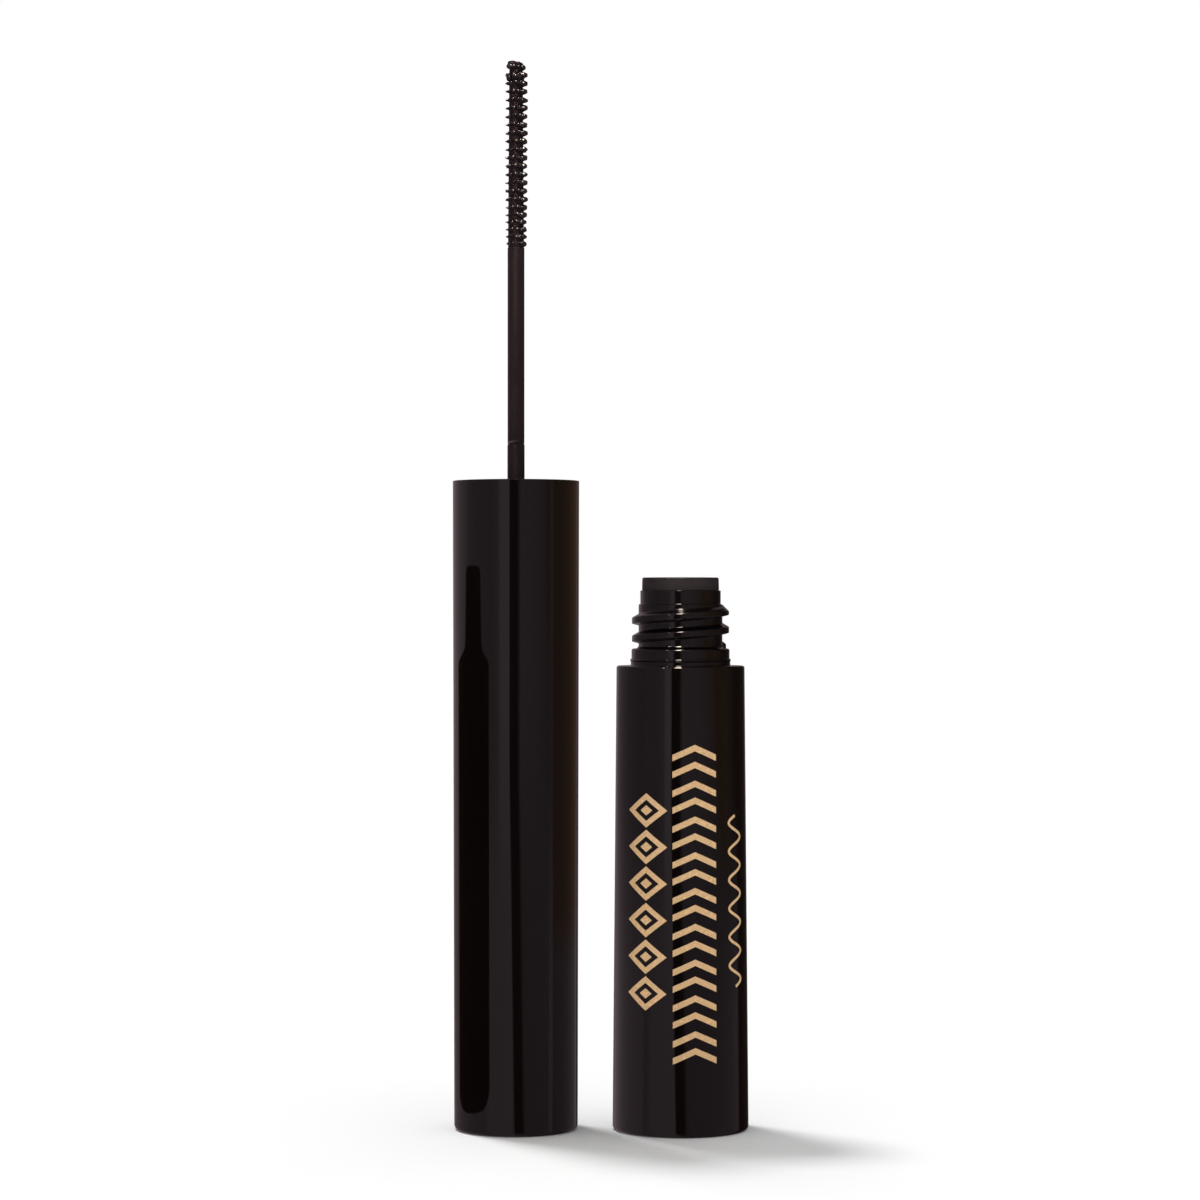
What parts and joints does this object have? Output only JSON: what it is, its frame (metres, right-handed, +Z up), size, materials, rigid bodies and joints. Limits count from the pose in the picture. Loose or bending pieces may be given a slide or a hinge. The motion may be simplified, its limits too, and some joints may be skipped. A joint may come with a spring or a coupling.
{
  "type": "mascara tube",
  "caption": "Slim round mascara tube, open: a threaded bottle with a wiper in its neck, and its long screw cap standing beside it with the wand and micro brush pointing up.",
  "frame": {"origin": "centre of the bottle's base, on the surface that it stands on", "axes": "+Z up, along the bottle's axis and out of its neck; the cap stands at -X from the bottle; the foil is on the front, which faces -Y"},
  "size_m": [0.0296, 0.0136, 0.1066],
  "materials": {
    "gloss_black": "high gloss moulded black",
    "vial_black": "gloss moulded black",
    "wiper_matte_black": "matte soft moulded black",
    "mascara": "wet paste",
    "gold_foil": "satin hot-stamped foil",
    "inner_cap_black": "satin moulded black",
    "washer_foam": "matte foam",
    "stem_black": "satin moulded black",
    "brush_black": "moulded elastomer, coated with mascara"
  },
  "bodies": {
    "bottle": {"outer_sleeve": "gloss_black", "base_plug": "gloss_black", "inner_vial": "vial_black", "wiper": "wiper_matte_black", "mascara_formula": "mascara", "foil_print": "gold_foil"},
    "cap_carrier": {"sealing_washer": "washer_foam"},
    "cap": {"cap_shell": "gloss_black", "inner_cap": "inner_cap_black", "stem": "stem_black", "brush": "brush_black"}
  },
  "joints": [
    {"name": "cap_lift", "type": "slide", "parent": "bottle", "child": "cap_carrier", "axis": [0, 0, 1], "range_m": [0, 0.0507]},
    {"name": "cap_turn", "type": "hinge", "parent": "cap_carrier", "child": "cap", "pos_m": [-0.01645, 0, 0.05555], "axis": [0, 0, 1], "continuous": true}
  ]
}
